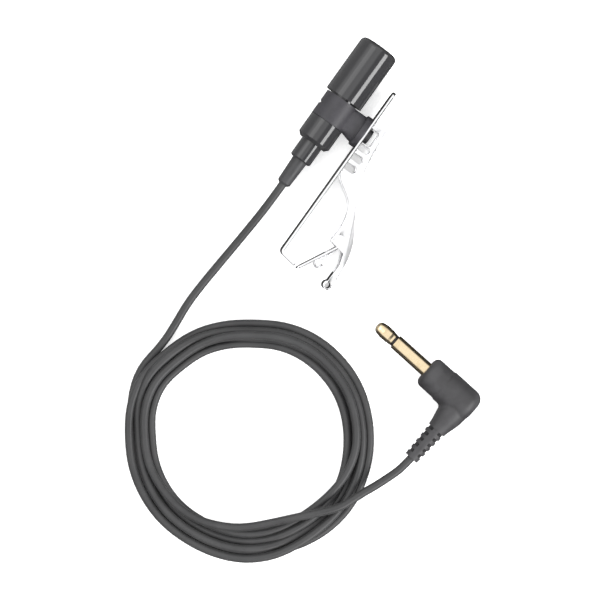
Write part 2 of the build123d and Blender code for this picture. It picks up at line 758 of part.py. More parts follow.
with BuildPart() as plug_insulator:
    tube_bore = PLUG_ROD_RADIUS + PRESS_GAP
    revolve(
        half_section(
            PLUG,
            (ring_front_x, tube_bore),
            (ring_front_x, PLUG_RING_RADIUS),
            (ring_back_x, PLUG_RING_RADIUS),
            (ring_back_x, PLUG_TUBE_RADIUS),
            (PLUG_COLLAR + CORE_FRONT, PLUG_TUBE_RADIUS),
            (PLUG_COLLAR + CORE_FRONT, tube_bore),
        ),
        axis=PLUG_AXIS,
    )

with BuildPart() as plug_sleeve:
    sleeve_tube_bore = PLUG_TUBE_RADIUS + PRESS_GAP
    revolve(
        half_section(
            PLUG,
            (ring_back_x, sleeve_tube_bore),
            (ring_back_x, PIN_BARREL_RADIUS),
            (0, PIN_BARREL_RADIUS),
            (0, PIN_SHANK_RADIUS),
            (CORE_FRONT, PIN_SHANK_RADIUS),
            (CORE_FRONT, PLUG_COLLAR_RADIUS),
            (CORE_FRONT + PLUG_COLLAR, PLUG_COLLAR_RADIUS),
            (CORE_FRONT + PLUG_COLLAR, sleeve_tube_bore),
        ),
        axis=PLUG_AXIS,
    )

with BuildPart() as plug_core:
    core_back = CORE_FRONT + CORE_LENGTH
    revolve(ring_section(PLUG, CORE_FRONT, core_back, 0, CORE_RADIUS), axis=PLUG_AXIS)
    collar_room = ring_section(
        PLUG, CORE_FRONT, CORE_FRONT + PLUG_COLLAR, 0, PLUG_COLLAR_RADIUS + PRESS_GAP
    )
    rod_room = ring_section(PLUG, CORE_FRONT, PLUG_ROD_TAIL, 0, PLUG_ROD_RADIUS + PRESS_GAP)
    revolve([collar_room, rod_room], axis=PLUG_AXIS, mode=Mode.SUBTRACT)

stem_plane = Plane(
    origin=PLUG.from_local_coords(Vector(STEM_OFFSET, 0, 0)),
    x_dir=-PLUG.y_dir,
    z_dir=(0, 0, 1),
)
STEM_AXIS = Axis(stem_plane.origin, stem_plane.x_dir)

with BuildPart() as plug_housing:
    housing_back = STEM_OFFSET + STEM_TOP_RADIUS + HOUSING_BACK_WALL
    with BuildSketch(PLUG):
        with BuildLine():
            FilletPolyline(
                (0, 0),
                (0, HOUSING_FRONT_RADIUS),
                (HOUSING_STEP, HOUSING_FRONT_RADIUS),
                (HOUSING_STEP + HOUSING_STEP_SLOPE, HOUSING_RADIUS),
                (housing_back, HOUSING_RADIUS),
                (housing_back, 0),
                radius=[
                    HOUSING_FRONT_ROUND,
                    HOUSING_STEP_ROUND,
                    HOUSING_STEP_ROUND,
                    HOUSING_BACK_ROUND,
                ],
            )
            Line((housing_back, 0), (0, 0))
        make_face()
    revolve(axis=PLUG_AXIS)
    with BuildSketch(stem_plane):
        with BuildLine():
            Spline(
                (0, STEM_TOP_RADIUS),
                STEM_MIDDLE,
                (STEM_LENGTH, STEM_END_RADIUS),
                tangents=((1, 0), (1, STEM_END_SLOPE)),
            )
            Polyline(
                (STEM_LENGTH, STEM_END_RADIUS),
                (STEM_LENGTH, RIB_START_RADIUS),
                (rib_end, RIB_END_RADIUS),
                (rib_end, 0),
                (0, 0),
                (0, STEM_TOP_RADIUS),
            )
        make_face()
    revolve(axis=STEM_AXIS)
    fillet(plug_housing.edges().filter_by(GeomType.BSPLINE), STEM_CORNER_ROUND)
    # Each slot is a shallow notch all the way down and a deeper pocket from above and below
    for rib in range(RIB_COUNT):
        place = STEM_LENGTH + RIB_SLOT_WIDTH / 2 + rib * RIB_PITCH
        rib_radius = RIB_START_RADIUS - RIB_TAPER * (place - STEM_LENGTH)
        for slot_floor, web in ((rib_radius - RIB_NOTCH, 0), (RIB_SPINE / 2, RIB_WEB)):
            middle = (HOUSING_RADIUS + slot_floor) / 2
            for side in (1, -1):
                with BuildSketch(stem_plane.offset(side * web)):
                    with Locations((place, middle), (place, -middle)):
                        Rectangle(RIB_SLOT_WIDTH, HOUSING_RADIUS - slot_floor)
                extrude(amount=side * HOUSING_RADIUS, mode=Mode.SUBTRACT)
    core_room = ring_section(PLUG, CORE_FRONT, core_back, 0, CORE_RADIUS + PRESS_GAP)
    sleeve_room = ring_section(PLUG, 0, CORE_FRONT, 0, PIN_SHANK_RADIUS + PRESS_GAP)
    revolve([core_room, sleeve_room], axis=PLUG_AXIS, mode=Mode.SUBTRACT)

# --- Lead, coil and tail of the cable ------------------------------------------------

with BuildPart() as cable_lead:
    with BuildLine() as lead_path:
        FilletPolyline(*LEAD_ROUTE, radius=bend_radii(LEAD_ROUTE))
    with BuildSketch(start_of(lead_path.line)):
        Circle(cable_radius)
    sweep()

with BuildPart() as cable_tail:
    with BuildLine() as tail_path:
        FilletPolyline(*TAIL_ROUTE, radius=bend_radii(TAIL_ROUTE))
    with BuildSketch(start_of(tail_path.line)):
        Circle(cable_radius)
    sweep()

with BuildPart() as cable_coil:
    with BuildSketch(Plane(origin=(*COIL_PLACE, 0)).rotated((0, 0, COIL_TURN))):
        Ellipse(*COIL_OUTER)
        with Locations(COIL_INNER_SHIFT):
            Ellipse(*COIL_INNER, mode=Mode.SUBTRACT)
    extrude(amount=COIL_HEIGHT)
    fillet(cable_coil.edges().filter_by(GeomType.ELLIPSE), COIL_ROUND)

# --- Labels and files ----------------------------------------------------------------

pieces = {
    "head_shell": head_shell,
    "front_grille": front_grille,
    "grille_cloth": grille_cloth,
    "capsule_boot": capsule_boot,
    "capsule_can": capsule_can,
    "diaphragm": diaphragm,
    "diaphragm_spacer": diaphragm_spacer,
    "back_plate": back_plate,
    "plate_cup": plate_cup,
    "contact_ring": contact_ring,
    "circuit_board": circuit_board,
    "transistor": transistor,
    "solder_pads": solder_pads,
    "body_shell": body_shell,
    "rear_sleeve": rear_sleeve,
    "relief_boot": relief_boot,
    "cable_crimp": cable_crimp,
    "cable_end": cable_end,
    "capsule_wires": capsule_wires,
    "holder": holder,
    "swivel_rivet": swivel_rivet,
    "clip_base": clip_base,
    "clip_lever": clip_lever,
    "pivot_pin": pivot_pin,
    "clip_spring": clip_spring,
    "plug_tip": plug_tip,
    "plug_insulator": plug_insulator,
    "plug_sleeve": plug_sleeve,
    "plug_core": plug_core,
    "plug_housing": plug_housing,
    "cable_lead": cable_lead,
    "cable_coil": cable_coil,
    "cable_tail": cable_tail,
}

os.makedirs("parts", exist_ok=True)
for label, piece in pieces.items():
    piece.part.label = label
    export_step(piece.part, f"parts/{label}.step")

for name, route, path, tube in (
    ("lead", LEAD_ROUTE, lead_path, cable_lead),
    ("tail", TAIL_ROUTE, tail_path, cable_tail),
):
    length = path.wire().length
    expected = length * math.pi * cable_radius**2
    print(name, "radii", [round(r, 1) for r in bend_radii(route)])
    print(name, "length", round(length, 1))
    print(name, "volume", round(tube.part.volume, 2), "expected", round(expected, 2))
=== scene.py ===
"""The looks of a clip-on lavalier microphone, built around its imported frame.

Everything is in metres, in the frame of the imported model: the microphone lies along Y with
its head towards +Y, its clip towards +X, and the floor is z = 0.
"""

import logging
import math
from dataclasses import dataclass, field
from enum import Enum
from typing import Any, Sequence

import bmesh
import bpy
import numpy as np
from mathutils import Matrix, Vector


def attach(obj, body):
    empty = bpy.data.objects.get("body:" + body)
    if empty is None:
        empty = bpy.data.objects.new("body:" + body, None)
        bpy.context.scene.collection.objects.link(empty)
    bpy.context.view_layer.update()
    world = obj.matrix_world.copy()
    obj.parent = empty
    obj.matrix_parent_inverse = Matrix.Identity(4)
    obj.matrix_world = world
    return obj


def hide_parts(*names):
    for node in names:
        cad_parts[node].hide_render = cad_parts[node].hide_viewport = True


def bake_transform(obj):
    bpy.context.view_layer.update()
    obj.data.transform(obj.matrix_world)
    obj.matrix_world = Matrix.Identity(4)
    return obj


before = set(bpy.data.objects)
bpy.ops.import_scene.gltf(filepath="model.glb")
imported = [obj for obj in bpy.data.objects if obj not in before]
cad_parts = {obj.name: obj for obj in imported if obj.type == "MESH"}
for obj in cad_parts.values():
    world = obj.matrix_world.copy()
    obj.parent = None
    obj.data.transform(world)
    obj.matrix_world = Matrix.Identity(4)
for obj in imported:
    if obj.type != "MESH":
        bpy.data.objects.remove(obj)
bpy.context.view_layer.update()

logging.basicConfig(level=logging.INFO, format="%(message)s")
log = logging.getLogger("scene")

MM = 0.001
MERGE_DISTANCE = 0.002 * MM
FLAT_ANGLE = math.radians(0.5)
SHARP_ANGLE = math.radians(35)
ROUNDING_STEPS = 3
OPAQUE = 1.0
WHITE_LIGHT = (1.0, 1.0, 1.0, OPAQUE)
Array = np.ndarray


# --- Nodes as maths ---------------------------------------------------------------------


@dataclass(frozen=True)
class Value:
    """One output socket of a graph of nodes, which takes part in sums and products."""

    graph: "Graph"
    socket: Any

    def maths(self, operation: str, *others: Any) -> "Value":
        """Add a Math node.

        Args:
            operation: the name of the Math node's operation.
            others: the node's further inputs, as numbers or values.

        Returns:
            The result, as a value.
        """
        return self.graph.node("ShaderNodeMath", {"operation": operation}, self, *others)

    def __add__(self, other: Any) -> "Value":
        """Self plus other."""
        return self.maths("ADD", other)

    __radd__ = __add__

    def __mul__(self, other: Any) -> "Value":
        """Self times other."""
        return self.maths("MULTIPLY", other)

    __rmul__ = __mul__

    def __sub__(self, other: Any) -> "Value":
        """Self minus other."""
        return self.maths("SUBTRACT", other)

    def __rsub__(self, other: Any) -> "Value":
        """Other minus self."""
        return self * -1.0 + other

    def between(self, low: float, high: float) -> "Value":
        """A smooth step.

        Args:
            low: where the step is 0.
            high: where it is 1.

        Returns:
            The step, from 0 to 1.
        """
        settings = {"interpolation_type": "SMOOTHSTEP"}
        return self.graph.node("ShaderNodeMapRange", settings, self, low, high, 0.0, 1.0)

    def part(self, axis: str) -> "Value":
        """One part of a vector.

        Args:
            axis: "X", "Y" or "Z".

        Returns:
            The part, as a value.
        """
        return self.graph.node("ShaderNodeSeparateXYZ", {}, self, output=axis)


class Graph:
    """The nodes of a material or of the sky, with the shader that they feed."""

    def __init__(self, owner: Any, surface: str) -> None:
        """Turn on the owner's nodes and find its shader.

        Args:
            owner: the material or the world.
            surface: the name of its shader node.
        """
        owner.use_nodes = True
        self.tree = owner.node_tree
        self.surface = self.tree.nodes[surface]

    def node(self, kind: str, settings: dict, *inputs: Any, output: Any = 0, **named: Any) -> Value:
        """Add a node of any type.

        Args:
            kind: the node's type.
            settings: the node's own properties, which are set first.
            inputs: values or numbers for its sockets in order, with None to skip one.
            output: the name or place of the output that is wanted.
            named: values or numbers for its sockets by name, with _ for a space.

        Returns:
            The wanted output, as a value.
        """
        made = self.tree.nodes.new(kind)
        for key, setting in settings.items():
            setattr(made, key, setting)
        for place, given in enumerate(inputs):
            self.feed(made.inputs[place], given)
        for name, given in named.items():
            self.feed(made.inputs[name.replace("_", " ")], given)
        return Value(self, made.outputs[output])

    def feed(self, socket: Any, given: Any) -> None:
        """Link a value to a socket, or set the socket's own number or colour.

        Args:
            socket: the input.
            given: a value, a number, a colour, or None to leave the input as it is.
        """
        if isinstance(given, Value):
            self.tree.links.new(given.socket, socket)
        elif given is not None:
            socket.default_value = given

    def feed_surface(self, **sockets: Any) -> None:
        """Link or set sockets of the shader.

        Args:
            sockets: values, numbers or colours by the socket's name, with _ for a space.
        """
        for name, given in sockets.items():
            self.feed(self.surface.inputs[name.replace("_", " ")], given)


class Shader(Graph):
    """A material whose surface is one Principled shader."""

    def __init__(self, name: str) -> None:
        """Make the material and its surface shader.

        Args:
            name: the material's name.
        """
        self.material = bpy.data.materials.new(name)
        super().__init__(self.material, "Principled BSDF")

    def place(self, scale: Sequence[float] = (1, 1, 1)) -> Value:
        """Object coordinates in metres.

        Args:
            scale: how much they are scaled along each axis, about the object's origin.

        Returns:
            The coordinates, as a vector.
        """
        coords = self.node("ShaderNodeTexCoord", {}, output="Object")
        return self.node("ShaderNodeMapping", {}, coords, Scale=tuple(scale))

    def noise(self, size: float, detail: float, stretch: Sequence[float] = (1, 1, 1)) -> Value:
        """Cloudy noise.

        Args:
            size: the width of its patches, in metres.
            detail: how many finer layers it has.
            stretch: a scale for each axis, below 1 to draw the patches out.

        Returns:
            The noise, from 0 to 1.
        """
        at = self.place(stretch)
        return self.node("ShaderNodeTexNoise", {}, at, Scale=1 / size, Detail=detail)

    def mix(self, factor: Value, first: Sequence[float], second: Sequence[float]) -> Value:
        """Blend two colours.

        Args:
            factor: 0 for the first colour and 1 for the second.
            first: the first colour, without its opacity.
            second: the second colour, without its opacity.

        Returns:
            The blended colour.
        """
        other_kinds = [None] * 5
        colours = [(*colour, OPAQUE) for colour in (first, second)]
        settings = {"data_type": "RGBA"}
        return self.node("ShaderNodeMix", settings, factor, *other_kinds, *colours, output=2)

    def bump(self, height: Value, depth: float, before: Any = None) -> Value:
        """Bend the surface by a height.

        Args:
            height: the height, from 0 to 1.
            depth: the depth that 1 stands for, in metres.
            before: a surface that is bent already, or None.

        Returns:
            The bent surface's direction.
        """
        sockets = {"Strength": 1.0, "Distance": depth, "Height": height, "Normal": before}
        return self.node("ShaderNodeBump", {}, **sockets)

    def finish(self, **sockets: Any) -> bpy.types.Material:
        """Set the surface shader's sockets.

        Args:
            sockets: values, numbers or colours by the socket's name, with _ for a space.

        Returns:
            The finished material.
        """
        self.feed_surface(**sockets)
        return self.material


# --- Finishes ---------------------------------------------------------------------------


@dataclass(frozen=True)
class GlossLacquer:
    """Black lacquer on turned metal: a faint ripple, a clear top coat and fine dust."""

    name: str = "black_lacquer"
    colour: tuple = (0.036, 0.036, 0.038)
    dust: tuple = (0.055, 0.055, 0.056)
    roughness: float = 0.16
    coat_roughness: float = 0.08
    coat_index: float = 1.5
    ripple_size: float = 1.6 * MM
    ripple_depth: float = 0.006 * MM
    speck_size: float = 0.09 * MM
    speck_range: tuple = (0.70, 0.80)
    smear_size: float = 5 * MM
    smear_range: tuple = (0.45, 0.75)

    def build(self) -> bpy.types.Material:
        """Make the material."""
        s = Shader(self.name)
        ripple = s.noise(self.ripple_size, 2.0)
        specks = s.noise(self.speck_size, 1.0).between(*self.speck_range)
        smears = s.noise(self.smear_size, 4.0).between(*self.smear_range)
        return s.finish(
            Base_Color=s.mix(specks * 0.5 + smears * 0.25, self.colour, self.dust),
            Roughness=smears * 0.10 + specks * 0.2 + self.roughness,
            Normal=s.bump(ripple, self.ripple_depth),
            Specular_IOR_Level=0.0,
            Coat_Weight=1.0,
            Coat_Roughness=self.coat_roughness,
            Coat_IOR=self.coat_index,
        )


@dataclass(frozen=True)
class Moulding:
    """Moulded plastic or rubber: a fine grain, a cloudy colour and a matte skin."""

    name: str
    colour: tuple
    lighter: tuple
    roughness: float = 0.55
    grain_size: float = 0.14 * MM
    grain_depth: float = 0.012 * MM
    flow_size: float = 1.2 * MM
    flow_depth: float = 0.01 * MM
    cloud_size: float = 3.5 * MM
    cloud_range: tuple = (0.35, 0.7)
    cloud_roughness: float = 0.12
    specular: float = 0.4

    def build(self) -> bpy.types.Material:
        """Make the material."""
        s = Shader(self.name)
        clouds = s.noise(self.cloud_size, 4.0).between(*self.cloud_range)
        grain = s.noise(self.grain_size, 2.0)
        flow = s.noise(self.flow_size, 2.0)
        smoothest = self.roughness - self.cloud_roughness / 2
        return s.finish(
            Base_Color=s.mix(clouds * 0.7 + grain * 0.3, self.colour, self.lighter),
            Roughness=clouds * self.cloud_roughness + smoothest,
            Normal=s.bump(flow, self.flow_depth, s.bump(grain, self.grain_depth)),
            Specular_IOR_Level=self.specular,
        )


@dataclass(frozen=True)
class Plate:
    """Bright plating on metal: rolling lines, soft blotches and worn, duller patches."""

    name: str
    colour: tuple
    worn: tuple
    roughness: float = 0.12
    lines: tuple = (1.0, 0.06, 1.0)
    line_size: float = 0.12 * MM
    line_depth: float = 0.0015 * MM
    blotch_size: float = 2.4 * MM
    blotch_range: tuple = (0.4, 0.75)
    scratch_size: float = 0.25 * MM
    scratch_stretch: tuple = (1.0, 0.12, 1.0)
    scratch_range: tuple = (0.66, 0.72)

    def build(self) -> bpy.types.Material:
        """Make the material."""
        s = Shader(self.name)
        drawn = s.noise(self.line_size, 2.0, self.lines)
        blotches = s.noise(self.blotch_size, 5.0).between(*self.blotch_range)
        scratches = s.noise(self.scratch_size, 1.0, self.scratch_stretch)
        scratches = scratches.between(*self.scratch_range)
        return s.finish(
            Base_Color=s.mix(blotches * 0.6, self.colour, self.worn),
            Metallic=1.0,
            Roughness=blotches * 0.10 + scratches * 0.12 + drawn * 0.05 + self.roughness,
            Normal=s.bump(drawn, self.line_depth),
        )


@dataclass(frozen=True)
class Sheath:
    """The cable's soft skin: matte, with a fine grain and slow changes of shade."""

    name: str = "cable_sheath"
    colour: tuple = (0.030, 0.030, 0.031)
    lighter: tuple = (0.050, 0.050, 0.051)
    roughness: float = 0.46
    specular: float = 0.45
    sheen: float = 0.08
    grain_size: float = 0.16 * MM
    grain_depth: float = 0.01 * MM
    shade_size: float = 7 * MM
    shade_range: tuple = (0.3, 0.7)
    scuff_size: float = 0.6 * MM
    scuff_range: tuple = (0.60, 0.74)

    def build(self) -> bpy.types.Material:
        """Make the material."""
        s = Shader(self.name)
        shade = s.noise(self.shade_size, 3.0).between(*self.shade_range)
        grain = s.noise(self.grain_size, 3.0)
        scuffs = s.noise(self.scuff_size, 4.0).between(*self.scuff_range)
        return s.finish(
            Base_Color=s.mix(shade * 0.6 + scuffs * 0.4, self.colour, self.lighter),
            Roughness=shade * 0.08 + scuffs * 0.1 + self.roughness,
            Normal=s.bump(grain, self.grain_depth),
            Specular_IOR_Level=self.specular,
            Sheen_Weight=self.sheen,
            Sheen_Roughness=0.5,
        )


@dataclass(frozen=True)
class Weave:
    """Fine black cloth: threads over and under each other."""

    name: str = "grille_weave"
    colour: tuple = (0.012, 0.012, 0.012)
    lighter: tuple = (0.05, 0.05, 0.05)
    thread: float = 0.22 * MM
    thread_depth: float = 0.05 * MM
    fuzz_size: float = 0.1 * MM

    def build(self) -> bpy.types.Material:
        """Make the material."""
        s = Shader(self.name)
        at = s.place()
        turn = math.pi / self.thread
        over = (at.part("X") * turn).maths("SINE") * (at.part("Z") * turn).maths("SINE")
        weave = over * 0.5 + 0.5
        fuzz = s.noise(self.fuzz_size, 2.0)
        return s.finish(
            Base_Color=s.mix(weave * 0.8 + fuzz * 0.2, self.colour, self.lighter),
            Roughness=0.9,
            Normal=s.bump(weave, self.thread_depth),
        )


@dataclass(frozen=True)
class PaleFloor:
    """A plain, pale studio table that is faintly lit from within."""

    name: str = "pale_floor"
    colour: tuple = (0.93, 0.93, 0.93)
    lighter: tuple = (0.9486, 0.9486, 0.9486)
    glow: float = 0.50
    tone_size: float = 60 * MM

    def build(self) -> bpy.types.Material:
        """Make the material."""
        s = Shader(self.name)
        return s.finish(
            Base_Color=s.mix(s.noise(self.tone_size, 2.0), self.colour, self.lighter),
            Roughness=0.8,
            Emission_Color=WHITE_LIGHT,
            Emission_Strength=self.glow,
        )


class Finish(Enum):
    """The finishes of the microphone's pieces."""

    LACQUER = GlossLacquer()
    HOLDER = Moulding("holder_plastic", (0.030, 0.029, 0.033), (0.050, 0.048, 0.055), 0.5)
    RIVET = Moulding("rivet_plastic", (0.015, 0.015, 0.016), (0.028, 0.028, 0.03), 0.4)
    RUBBER = Moulding("relief_rubber", (0.034, 0.034, 0.036), (0.055, 0.055, 0.058), 0.5)
    HOUSING = Moulding("plug_moulding", (0.034, 0.033, 0.035), (0.055, 0.054, 0.057), 0.52)
    INSULATOR = Moulding("ring_plastic", (0.012, 0.009, 0.008), (0.02, 0.016, 0.014), 0.3)
    WHITE = Moulding("white_plastic", (0.72, 0.72, 0.70), (0.82, 0.82, 0.80), 0.5)
    BOARD = Moulding("board_lacquer", (0.02, 0.12, 0.05), (0.03, 0.16, 0.07), 0.35)
    WIRE = Moulding("wire_skin", (0.45, 0.04, 0.03), (0.55, 0.06, 0.05), 0.4)
    NICKEL = Plate("bright_nickel", (0.90, 0.90, 0.91), (0.80, 0.80, 0.82), 0.10)
    STEEL = Plate("spring_steel", (0.62, 0.62, 0.63), (0.48, 0.48, 0.50), 0.2)
    GOLD = Plate("gold_plate", (0.80, 0.66, 0.44), (0.72, 0.57, 0.35), 0.16, (0.06, 1.0, 1.0))
    ALUMINIUM = Plate("can_aluminium", (0.78, 0.79, 0.81), (0.70, 0.71, 0.73), 0.3)
    BRASS = Plate("bare_brass", (0.76, 0.58, 0.26), (0.66, 0.50, 0.22), 0.25)
    SOLDER = Plate("solder", (0.55, 0.55, 0.57), (0.45, 0.45, 0.47), 0.35)
    SHEATH = Sheath()
    WEAVE = Weave()
    FLOOR = PaleFloor()

    def material(self) -> bpy.types.Material:
        """The finish's material, which is made the first time."""
        return bpy.data.materials.get(self.value.name) or self.value.build()


def dress(node: str, finish: Finish) -> None:
    """Give a node of the frame its finish.

    Args:
        node: the node's name.
        finish: its finish.
    """
    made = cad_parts[node]
    for slot in made.material_slots:
        slot.material = finish.material()
    log.info("dressed %s in %s", node, finish.value.name)


# --- Shapes -----------------------------------------------------------------------------


def make_piece(name: str, points: Array, faces: Sequence, finish: Finish) -> bpy.types.Object:
    """Make a smooth mesh object at the origin.

    Args:
        name: the piece's name.
        points: its corners, in metres.
        faces: the places of each face's corners among the points.
        finish: its finish.

    Returns:
        The piece.
    """
    mesh = bpy.data.meshes.new(name)
    mesh.from_pydata(points.reshape(-1, 3).tolist(), [], [tuple(f) for f in faces])
    mesh.update()
    mesh.materials.append(finish.material())
    piece = bpy.data.objects.new(name, mesh)
    bpy.context.scene.collection.objects.link(piece)
    mesh.polygons.foreach_set("use_smooth", np.ones(len(mesh.polygons), bool))
    return piece


def merged_copy(node: str, finish: Finish) -> tuple[bpy.types.Object, bmesh.types.BMesh]:
    """A smooth copy of a node of the frame whose triangles share their corners.

    Args:
        node: the node that it stands for.
        finish: its finish.

    Returns:
        The copy, whose mesh is still empty, and the form that is to go into its mesh.
    """
    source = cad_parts[node]
    mesh = bpy.data.meshes.new(node + "_formed")
    mesh.materials.append(finish.material())
    form = bmesh.new()
    form.from_mesh(source.data)
    form.transform(source.matrix_world)
    bmesh.ops.remove_doubles(form, verts=form.verts, dist=MERGE_DISTANCE)
    for face in form.faces:
        face.smooth = True
    piece = bpy.data.objects.new(mesh.name, mesh)
    bpy.context.scene.collection.objects.link(piece)
    return piece, form


def rounded_copy(node: str, body: str, finish: Finish, width: float) -> bpy.types.Object:
    """A copy of a node of the frame, with its sharp edges rounded, which replaces it.

    Args:
        node: the node that it stands for.
        body: the body that it moves with.
        finish: its finish.
        width: how far the rounding reaches on each side of an edge, in metres.

    Returns:
        The copy.
    """
    piece, form = merged_copy(node, finish)
    bmesh.ops.dissolve_limit(form, angle_limit=FLAT_ANGLE, verts=form.verts, edges=form.edges)
    form.to_mesh(piece.data)
    form.free()
    rounding = piece.modifiers.new("rounding", "BEVEL")
    rounding.width, rounding.segments = width, ROUNDING_STEPS
    rounding.limit_method, rounding.angle_limit = "ANGLE", SHARP_ANGLE
    rounding.harden_normals = True
    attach(piece, body)
    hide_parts(node)
    log.info("rounded %s", node)
    return piece


def flexing_copy(node: str, finish: Finish, start: Vector, end: Vector,
                 cuts: int) -> bpy.types.Object:
    """A copy of a node of the frame, cut into rings between two points, which replaces it.

    Args:
        node: the node that it stands for.
        finish: its finish.
        start: the point where the cuts start.
        end: the point where the last cut lies.
        cuts: how many rings of corners it gets on the way.

    Returns:
        The copy.
    """
    piece, form = merged_copy(node, finish)
    for share in np.linspace(0, 1, cuts):
        every = [*form.verts, *form.edges, *form.faces]
        cut = start.lerp(end, float(share))
        bmesh.ops.bisect_plane(form, geom=every, plane_co=cut, plane_no=end - start)
    form.to_mesh(piece.data)
    form.free()
    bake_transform(piece)
    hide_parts(node)
    log.info("made %s flex", node)
    return piece


# --- The stage --------------------------------------------------------------------------


@dataclass
class Studio:
    """The floor, the lights and the camera, which looks straight down."""

    azimuth: float = 35.6
    centre: tuple = (9.7 * MM, -32.0 * MM)
    width: float = 139.5 * MM
    aim_height: float = 3 * MM
    lens: float = 200.0
    sensor: float = 36.0
    floor_size: float = 3.0
    clip_range: tuple = (0.01, 20.0)
    zenith: float = 1.25
    horizon: float = 0.04
    left_glow: float = 0.5
    band_left: tuple = (-0.97, -0.75)
    band_right: tuple = (0.22, 0.42)
    band_height: tuple = (0.2, 0.55)
    glow_edge: tuple = (-0.8, -0.3)

    @property
    def right(self) -> Vector:
        """The direction of the picture's right side."""
        turn = math.radians(self.azimuth)
        return Vector((math.cos(turn), math.sin(turn), 0))

    @property
    def up(self) -> Vector:
        """The direction of the picture's top side."""
        return Vector((0, 0, 1)).cross(self.right)

    def camera(self) -> None:
        """Stand the camera over the object, at its azimuth."""
        data = bpy.data.cameras.new("camera")
        data.lens, data.sensor_width = self.lens, self.sensor
        data.clip_start, data.clip_end = self.clip_range
        distance = self.width * self.lens / self.sensor
        made = bpy.data.objects.new("camera", data)
        axes = Matrix((self.right, self.up, (0, 0, 1))).transposed().to_4x4()
        spot = Vector((*self.centre, self.aim_height + distance))
        made.matrix_world = Matrix.Translation(spot) @ axes
        bpy.context.scene.collection.objects.link(made)
        bpy.context.scene.camera = made

    def floor(self) -> None:
        """Lay the floor, which no reflection shows."""
        half = self.floor_size / 2
        corners = np.array([(-half, -half, 0), (half, -half, 0), (half, half, 0), (-half, half, 0)])
        made = make_piece("floor", corners, [(0, 1, 2, 3)], Finish.FLOOR)
        made.visible_glossy = False

    def softbox(self, name: str, towards: Vector, distance: float, size: tuple, power: float,
                along: Vector) -> None:
        """Hang a soft light that shines at the object.

        Args:
            name: the light's name.
            towards: the direction from the object to the light.
            distance: how far away it hangs, in metres.
            size: its length and width, in metres.
            power: its power, in watts.
            along: the direction of its length.
        """
        data = bpy.data.lights.new(name, "AREA")
        data.shape, data.size, data.size_y, data.energy = "RECTANGLE", *size, power
        made = bpy.data.objects.new(name, data)
        back = towards.normalized()
        long_way = (along - back * along.dot(back)).normalized()
        axes = Matrix((long_way, back.cross(long_way), back)).transposed().to_4x4()
        spot = Vector((*self.centre, 0)) + back * distance
        made.matrix_world = Matrix.Translation(spot) @ axes
        bpy.context.scene.collection.objects.link(made)

    def sky(self) -> None:
        """Paint the sky: bright overhead, dim to the left and dark to the right."""
        world = bpy.data.worlds.new("sky")
        bpy.context.scene.world = world
        sky = Graph(world, "Background")
        towards = sky.node("ShaderNodeTexCoord", {}, output="Generated")
        across, height = towards.part("X"), towards.part("Z")
        band = across.between(*self.band_left) * (1.0 - across.between(*self.band_right))
        overhead = band * height.between(*self.band_height)
        left = 1.0 - across.between(*self.glow_edge)
        strength = overhead * (self.zenith - self.horizon) + left * self.left_glow
        sky.feed_surface(Strength=strength + self.horizon, Color=WHITE_LIGHT)

    def lights(self) -> None:
        """Hang the lights: a strip to the microphone's right and a dim panel to its left."""
        across, along, up = Vector((1, 0, 0)), Vector((0, 1, 0)), Vector((0, 0, 1))
        self.softbox("strip", across * 0.82 + up * 0.57, 0.9, (1.2, 0.34), 12.5, along)
        self.softbox("panel", across * -0.50 + up * 0.87, 1.1, (1.0, 0.5), 2.0, along)
        self.sky()

    def build(self) -> None:
        """Set the whole stage."""
        self.camera()
        self.floor()
        self.lights()
        bpy.context.scene.view_settings.view_transform = "Standard"
        log.info("stage set")


# --- The cable --------------------------------------------------------------------------


FULL_TURN = 360.0
OUTLINE_STEP = 30.0
INSET_STEP = 45.0
FIRST_INSET = 135.0


